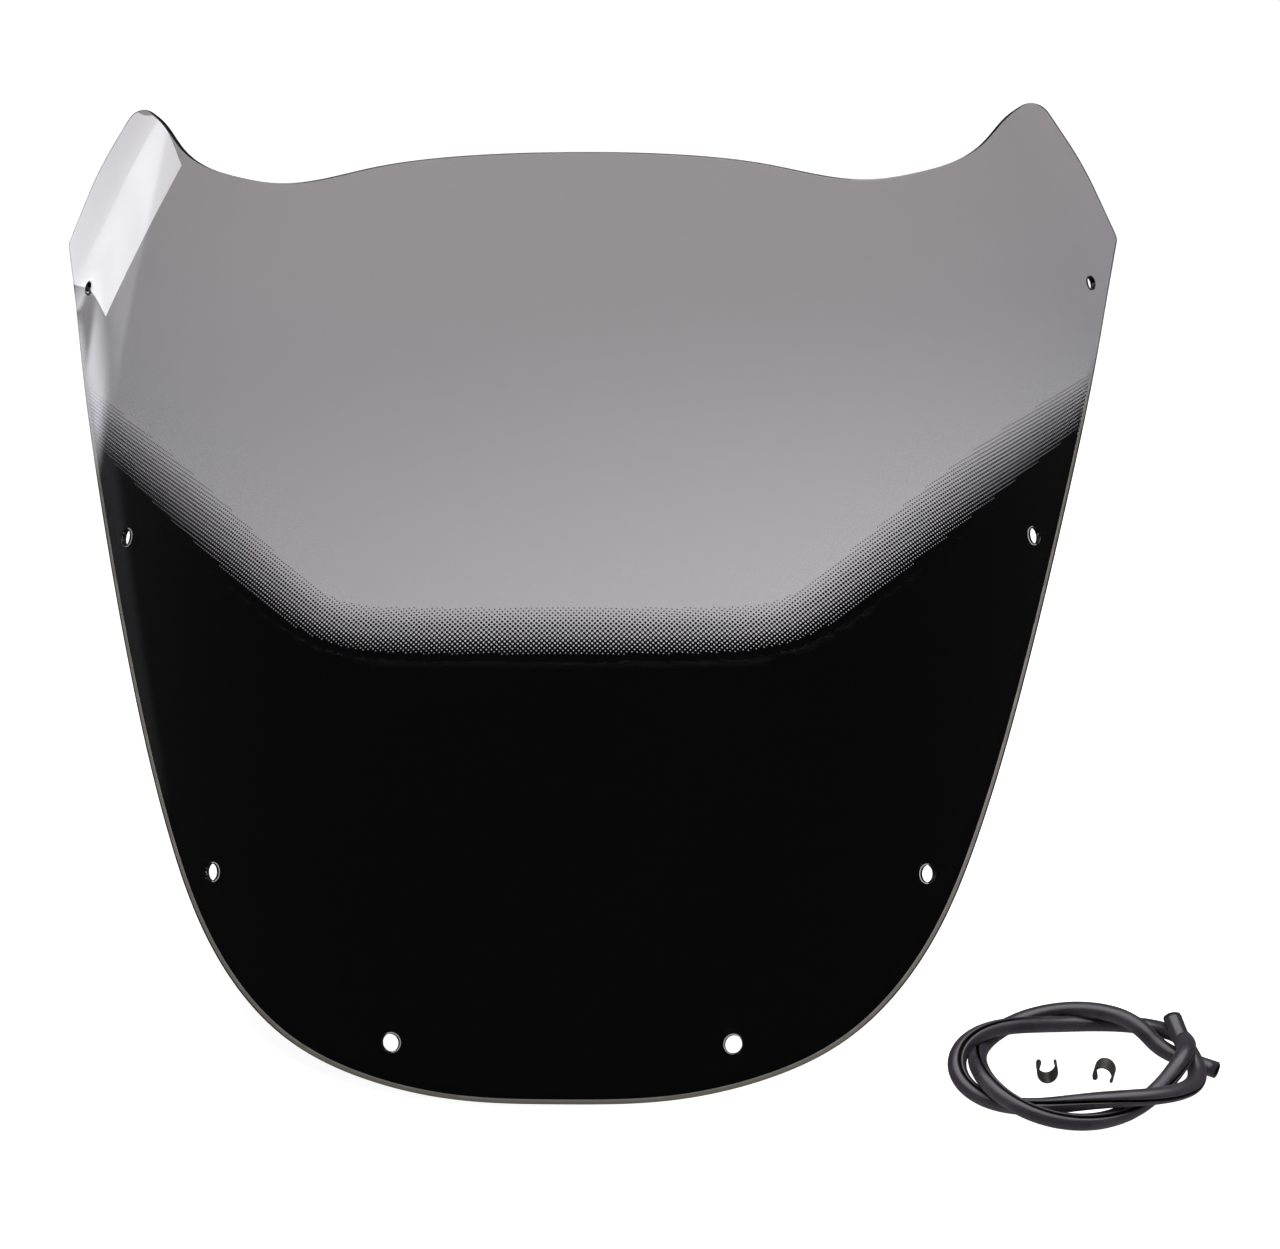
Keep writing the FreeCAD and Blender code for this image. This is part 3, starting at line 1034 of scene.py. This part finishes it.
class ClipLie(Enum):
    """How a loose clip lies: its turn about its own length."""

    GAP_UP = 0.0
    ON_TONGUES = math.pi


@dataclass
class SpringClip:
    """A bent strip clip: an oval C whose two ends are rounded tongues."""

    node: str
    body: str
    at: tuple
    lie: ClipLie
    turn: float
    wide: float = 0.0093
    tall: float = 0.0112
    wall: float = 0.0008
    long: float = 0.0074
    gap: float = math.radians(76.0)
    tongue: float = 0.0036
    tip_width: float = 0.0006
    edge: float = 0.00022
    line_points: int = 97
    corner_points: int = 4
    face_points: int = 5

    def strip_line(self) -> tuple[Array, Array, Array]:
        """The strip's middle line from tip to tip, its unit normals, and the run from its middle.

        The line is an ellipse, x = a sin(s) and z = -b cos(s), whose parameter s stops where the
        gap's opening angle starts.
        """
        a, b = 0.5 * (self.wide - self.wall), 0.5 * (self.tall - self.wall)
        half_gap = 0.5 * self.gap
        stop = math.pi - math.atan2(b * math.sin(half_gap), a * math.cos(half_gap))
        s = stop * np.sin(np.linspace(-0.5 * math.pi, 0.5 * math.pi, self.line_points))
        line = np.stack([a * np.sin(s), -b * np.cos(s)], -1)
        run = run_length(line)
        outward = unit(np.stack([b * np.sin(s), -a * np.cos(s)], -1))
        return line, outward, run - 0.5 * run[-1]

    def section(self) -> Array:
        """The strip's section: share of the half-width, and the offsets along and across the strip.

        It is a rectangle with rounded edges, listed once round.
        """
        k, n = 0.5 * self.wall, self.face_points
        arc = np.linspace(0.0, 0.5 * math.pi, self.corner_points)
        corner = np.stack([np.cos(arc) - 1.0, np.sin(arc) - 1.0], -1) * self.edge
        flat = np.linspace(-1.0, 1.0, n + 2)[1:-1]
        parts = []
        for sy, sk in ((1, 1), (-1, 1), (-1, -1), (1, -1)):
            bend = corner if sy == sk else corner[::-1]
            ends = np.full(self.corner_points, float(sy))
            parts.append(np.stack([ends, sy * bend[:, 0], sk * (k + bend[:, 1])], -1))
            if sy == sk:
                parts.append(np.stack([-sy * flat, np.zeros(n), np.full(n, sk * k)], -1))
        return np.concatenate(parts).T

    def build(self) -> bpy.types.Object:
        """Carry the strip's section along its line.

        The half-width shrinks as a quarter ellipse over each tongue.
        """
        line, outward, run = self.strip_line()
        share = np.clip((run[-1] - np.abs(run)) / self.tongue, 0.0, 1.0)
        half = 0.5 * self.long * np.sqrt(np.clip(1.0 - (1.0 - share) ** 2, self.tip_width, 1.0))
        pull, along, across = self.section()
        y = pull[None] * half[:, None] \
            + along[None] * np.minimum(half / (2.0 * self.edge), 1.0)[:, None]
        flat = line[:, None] + outward[:, None] * across[None, :, None]
        ring = np.stack([flat[..., 0], y, flat[..., 1]], -1)
        roll, yaw = Matrix.Rotation(self.lie.value, 3, "Y"), Matrix.Rotation(self.turn, 3, "Z")
        verts = ring.reshape(-1, 3) @ np.array(yaw @ roll).T
        verts += np.array([*self.at, -verts[:, 2].min()])
        rows, cols = ring.shape[:2]
        faces = grid_faces(rows, cols)
        faces += [list(range(cols))[::-1], list(range((rows - 1) * cols, rows * cols))]
        obj = new_object(self.node + "_strip", verts, faces)
        set_uv(obj, np.stack([np.repeat(run, cols), y.ravel()], -1) * MM)
        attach(obj, self.body)
        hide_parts(self.node)
        return obj


# ---------------------------------------------------------------- studio


@dataclass(frozen=True)
class Window:
    """A soft bright patch of the surroundings, in degrees of turn from +Y toward +X and of rise.

    Each edge is the pair of angles between which it fades.
    """

    left: tuple
    right: tuple
    low: tuple
    high: tuple
    strength: float


@dataclass(frozen=True)
class Lamp:
    """A soft rectangular light, and the kinds of rays that don't meet it."""

    name: str
    at: tuple
    aim: tuple
    size: tuple
    power: float
    color: tuple = (1.0, 1.0, 1.0)
    hidden_from: tuple = ()

    def build(self) -> None:
        """Hang the light and point it."""
        data = bpy.data.lights.new(self.name, "AREA")
        data.shape, data.energy, data.color = "RECTANGLE", self.power, self.color
        data.size, data.size_y = self.size
        lamp = linked(bpy.data.objects.new(self.name, data))
        turn = (Vector(self.at) - Vector(self.aim)).to_track_quat("Z", "Y")
        lamp.matrix_world = Matrix.Translation(Vector(self.at)) @ turn.to_matrix().to_4x4()
        for kind in self.hidden_from:
            setattr(lamp, "visible_" + kind, False)


@dataclass
class Studio:
    """The white floor, the surroundings, the lights and the camera."""

    ambient: float = 0.05
    ceiling: float = 1.2
    ceiling_rise: tuple = (35.0, 60.0)
    ceiling_back: tuple = (0.0, 0.5)
    sky_color: tuple = (0.93, 0.94, 1.0, 1.0)
    windows: tuple = (
        Window((-61.8, -60.6), (-57.5, -55.5), (-3.0, 1.0), (24.0, 40.0), 0.6),
        Window((-61.8, -61.0), (-57.0, -55.5), (3.5, 6.0), (24.0, 40.0), 0.7),
        Window((-61.2, -58.6), (-55.8, -54.6), (-5.6, -4.4), (-4.2, -1.2), 2.4),
        Window((-61.2, -58.6), (-45.0, -35.0), (-14.0, -9.0), (-5.6, -4.4), 2.0),
        Window((-84.0, -80.0), (-60.0, -56.0), (-14.0, -8.0), (-3.4, -1.6), 0.10),
    )
    lamps: tuple = (
        Lamp("overhead", (0.0, 0.9, 2.6), (0.0, 0.5, 0.0), (3.0, 2.4), 46.0),
        Lamp("ear_card", (-0.400, 0.4545, 0.297), (0.0, 0.4545, 0.297), (0.045, 0.130), 0.083,
             (0.95, 0.96, 1.0), ("camera", "transmission", "diffuse")),
    )
    aim: tuple = (0.0353, 0.090, 0.1914)
    azimuth: float = math.radians(2.57)
    elevation: float = math.radians(28.5)
    roll: float = math.radians(-1.27)
    distance: float = 1.25
    lens: float = 81.29
    sensor: float = 36.0
    far_clip: float = 30.0
    floor_radius: float = 1.6
    floor_rings: tuple = (0.3, 0.6, 1.0)
    floor_corners: int = 96
    floor_drop: float = 0.0002

    def camera(self) -> None:
        """Aim the camera from its azimuth, elevation and distance, with its small roll."""
        ce, se = math.cos(self.elevation), math.sin(self.elevation)
        away = Vector((math.sin(self.azimuth) * ce, -math.cos(self.azimuth) * ce, se))
        data = bpy.data.cameras.new("camera")
        data.lens, data.sensor_width, data.sensor_fit = self.lens, self.sensor, "HORIZONTAL"
        data.clip_end = self.far_clip
        camera = linked(bpy.data.objects.new("camera", data))
        turn = away.to_track_quat("Z", "Y").to_matrix() @ Matrix.Rotation(self.roll, 3, "Z")
        place = Matrix.Translation(Vector(self.aim) + away * self.distance)
        camera.matrix_world = place @ turn.to_4x4()
        bpy.context.scene.camera = camera

    def floor(self) -> None:
        """A wide white disc just under the pieces, its middle the last vertex."""
        n, rings = self.floor_corners, np.array(self.floor_rings)[:, None] * self.floor_radius
        turn = np.linspace(0.0, math.tau, n + 1)[:-1]
        flat = np.zeros((len(rings), n))
        grid = np.stack([rings * np.cos(turn), rings * np.sin(turn), flat], -1).reshape(-1, 3)
        verts = np.concatenate([grid, [[0.0, 0.0, 0.0]]]) - [0.0, 0.0, self.floor_drop]
        inner = [[len(grid), i, (i + 1) % n] for i in range(n)]
        outer = [face[::-1] for face in grid_faces(len(rings), n)]
        obj = new_object("floor", verts, inner + outer)
        obj.data.materials.append(FloorFinish().build())

    def surroundings(self) -> None:
        """The studio round the pieces, as a sky over direction.

        Seen straight or through the sheet it is white. To a ray that a piece has mirrored or
        scattered it is dark, with an even ceiling at the back and the soft windows.
        """
        world = bpy.data.worlds.new("studio")
        bpy.context.scene.world = world
        world.use_nodes = True
        world.node_tree.nodes.clear()
        make = Shader(world.node_tree)
        way = make.axes(make.where("Generated"))
        degrees = 180.0 / math.pi
        turn = make.math("MULTIPLY", make.math("ARCTAN2", way["X"], way["Y"]), degrees)
        rise = make.math("MULTIPLY", make.math("ARCSINE", way["Z"]), degrees)
        back = make.remap(way["Y"], *self.ceiling_back, kind="SMOOTHSTEP")
        over = make.remap(rise, *self.ceiling_rise, kind="SMOOTHSTEP")
        total = make.math("MULTIPLY", back, make.math("MULTIPLY", over, self.ceiling))
        total = make.math("ADD", total, self.ambient)
        for window in self.windows:
            across = make.window(turn, window.left, window.right)
            along = make.window(rise, window.low, window.high)
            light = make.math("MULTIPLY", make.math("MULTIPLY", across, along), window.strength)
            total = make.math("ADD", total, light)
        white = make.add("ShaderNodeBackground", {"Color": (1.0, 1.0, 1.0, 1.0), "Strength": 1.0})
        sky = make.add("ShaderNodeBackground", {"Color": self.sky_color, "Strength": total})
        rays = make.add("ShaderNodeLightPath").outputs
        depth = make.math("ADD", rays["Glossy Depth"], rays["Diffuse Depth"])
        bounced = make.math("GREATER_THAN", depth, 0.5)
        mix = make.add("ShaderNodeMixShader", {0: bounced, 1: white.outputs[0], 2: sky.outputs[0]})
        make.add("ShaderNodeOutputWorld", {"Surface": mix.outputs[0]})

    def build(self) -> None:
        """Set up everything that is not part of the object."""
        bpy.context.scene.view_settings.view_transform = "Standard"
        self.camera()
        self.floor()
        self.surroundings()
        for lamp in self.lamps:
            lamp.build()


def main() -> None:
    """Build the studio and every piece, camera and cord first."""
    logging.basicConfig(level=logging.INFO, format="%(name)s: %(message)s")
    Studio().build()
    form = SheetForm()
    pieces = [EdgeTrim().build(), ScreenSheet(form).build(), *MaskPrint(form).build()]
    steel = SpringClipFinish().build()
    clips = (
        SpringClip("clip_left", "clip_up", (0.2133, 0.0225), ClipLie.GAP_UP, 0.0),
        SpringClip("clip_right", "clip_down", (0.2383, 0.0216), ClipLie.ON_TONGUES,
                   math.radians(-16.0)),
    )
    for clip in clips:
        piece = clip.build()
        piece.data.materials.append(steel)
        pieces.append(piece)
    for piece in pieces:
        LOG.info("%s: %d faces", piece.name, len(piece.data.polygons))


if __name__ == "__main__":
    main()
